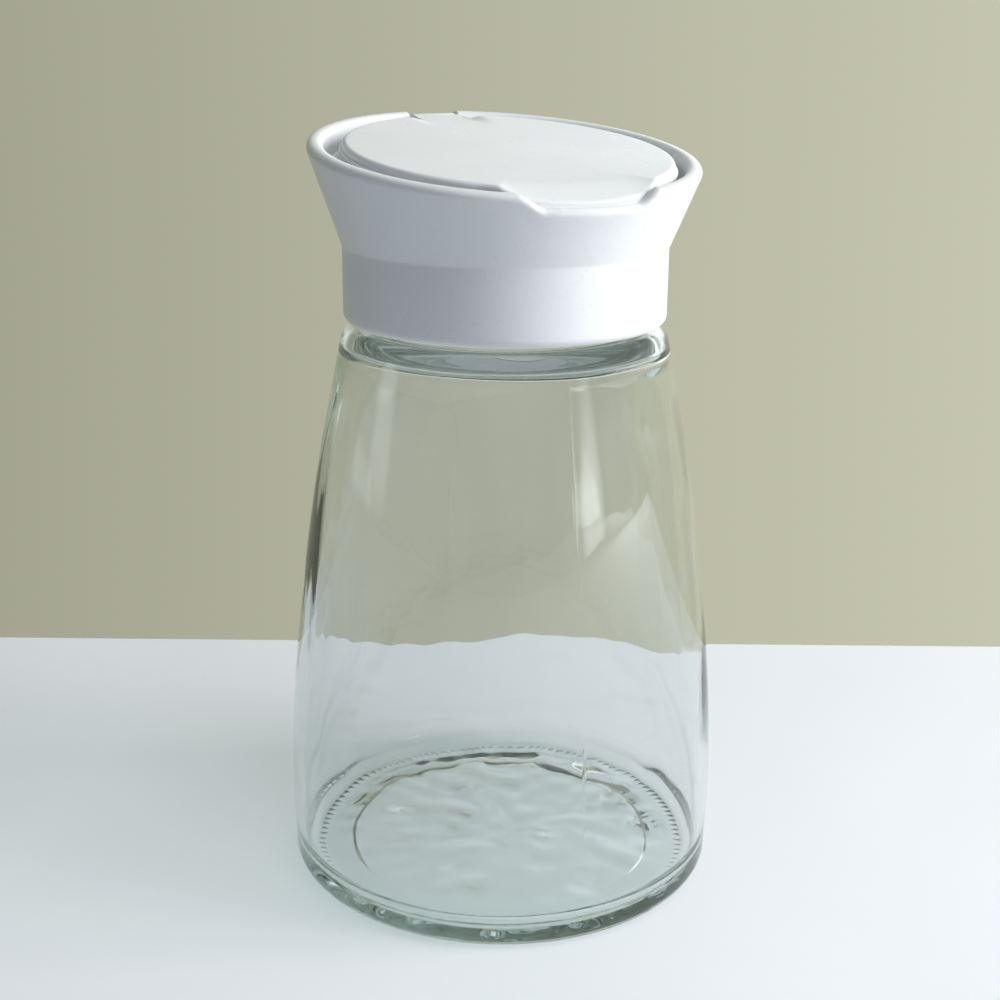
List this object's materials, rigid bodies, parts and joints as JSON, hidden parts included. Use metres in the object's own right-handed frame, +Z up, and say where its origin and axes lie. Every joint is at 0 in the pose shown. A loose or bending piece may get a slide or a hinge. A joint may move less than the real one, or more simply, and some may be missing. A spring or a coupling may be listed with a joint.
{
  "type": "sugar dispenser",
  "caption": "Clear glass sugar dispenser with a flared white screw cap, a slanted rim and a hinged flip lid over the pouring hole.",
  "frame": {"origin": "centre of the jar's foot, on the surface that it stands on", "axes": "+Z up along the jar's axis, -Y towards the lid's thumb tab and the pouring side, +Y towards the hinge"},
  "size_m": [0.079, 0.079, 0.1356],
  "materials": {
    "glass": "clear",
    "white_plastic": "satin",
    "liner_plastic": "natural",
    "gasket_rubber": "matte",
    "plug_rubber": "matte",
    "pin_steel": "polished"
  },
  "bodies": {
    "jar": {"glass_jar": "glass"},
    "seal": {"jar_gasket": "gasket_rubber"},
    "cap": {"cap_shell": "white_plastic", "cap_liner": "liner_plastic", "pour_deck": "white_plastic", "hinge_pin": "pin_steel"},
    "lid": {"flip_lid": "white_plastic", "lid_plug": "plug_rubber"}
  },
  "joints": [
    {"name": "cap_rise", "type": "slide", "parent": "jar", "child": "seal", "axis": [0, 0, 1], "range_m": [0, 0.0126]},
    {"name": "cap_turn", "type": "hinge", "parent": "seal", "child": "cap", "pos_m": [0, 0, 0.115], "axis": [0, 0, 1], "range_deg": [0, 1080]},
    {"name": "lid_hinge", "type": "hinge", "parent": "cap", "child": "lid", "pos_m": [0, 0.03113, 0.13341], "axis": [-1, 0, 0], "range_deg": [0, 115]}
  ],
  "couplings": [
    {"joint": "cap_rise", "follows": "cap_turn", "m_per_rad": 0.00066845}
  ]
}
